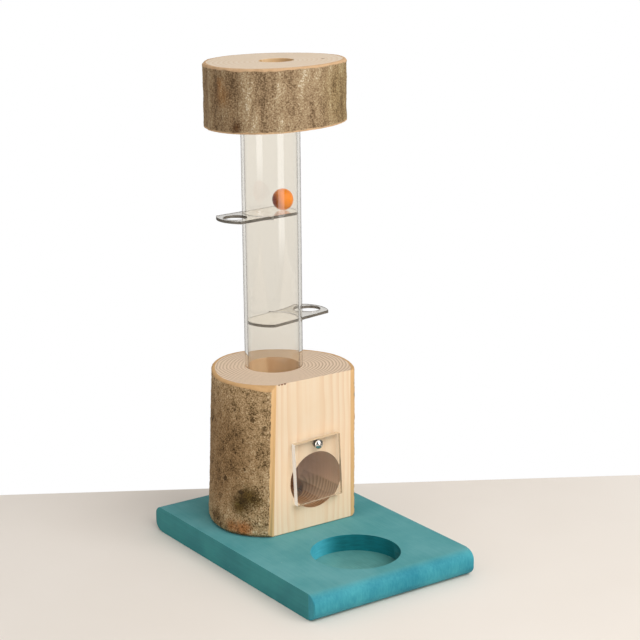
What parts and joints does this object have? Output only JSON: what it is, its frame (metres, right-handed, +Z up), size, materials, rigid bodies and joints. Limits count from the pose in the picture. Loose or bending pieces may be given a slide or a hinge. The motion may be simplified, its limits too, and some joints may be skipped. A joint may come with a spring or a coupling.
{
  "type": "parrot foraging toy",
  "caption": "Free-standing parrot foraging tower: clear tube between a bored log and a barked top block, with two pull-out slides, a swing flap over the window and a dish in the board.",
  "frame": {"origin": "middle of the base board's underside", "axes": "+Z up, -Y the front with the window and dish, +X to the right seen from the front"},
  "size_m": [0.194, 0.3, 0.5015],
  "materials": {
    "stained_wood": "matt stain",
    "planed_wood": "planed, unfinished",
    "stump_bark": "natural bark",
    "clear_tube": "clear acrylic",
    "clear_sheet": "clear acrylic",
    "block_wood": "sawn and sanded",
    "block_bark": "natural bark",
    "treat": "satin",
    "clear_flap": "clear acrylic",
    "screw_steel": "bright plated",
    "clear_washer": "clear plastic",
    "zinc_screws": "zinc plated"
  },
  "bodies": {
    "stand": {"base_board": "stained_wood", "stump_wood": "planed_wood", "stump_bark": "stump_bark", "tube": "clear_tube", "block_wood": "block_wood", "block_bark": "block_bark", "flap_screw": "screw_steel", "flap_washer": "clear_washer", "base_screws": "zinc_screws"},
    "upper_slide": {"upper_slide": "clear_sheet"},
    "lower_slide": {"lower_slide": "clear_sheet"},
    "treat": {"treat_ball": "treat"},
    "flap": {"flap": "clear_flap"}
  },
  "joints": [
    {"name": "upper_slide_draw", "type": "slide", "parent": "stand", "child": "upper_slide", "axis": [-0.9945, -0.1045, 0], "range_m": [0, 0.05]},
    {"name": "lower_slide_draw", "type": "slide", "parent": "stand", "child": "lower_slide", "axis": [0.9799, 0.1994, 0], "range_m": [0, 0.05]},
    {"name": "treat_lift", "type": "slide", "parent": "stand", "child": "treat", "axis": [0, 0, 1], "range_m": [0, 0.165]},
    {"name": "flap_swing", "type": "hinge", "parent": "stand", "child": "flap", "pos_m": [0.006, -0.004, 0.1185], "axis": [0, -1, 0], "continuous": true}
  ]
}
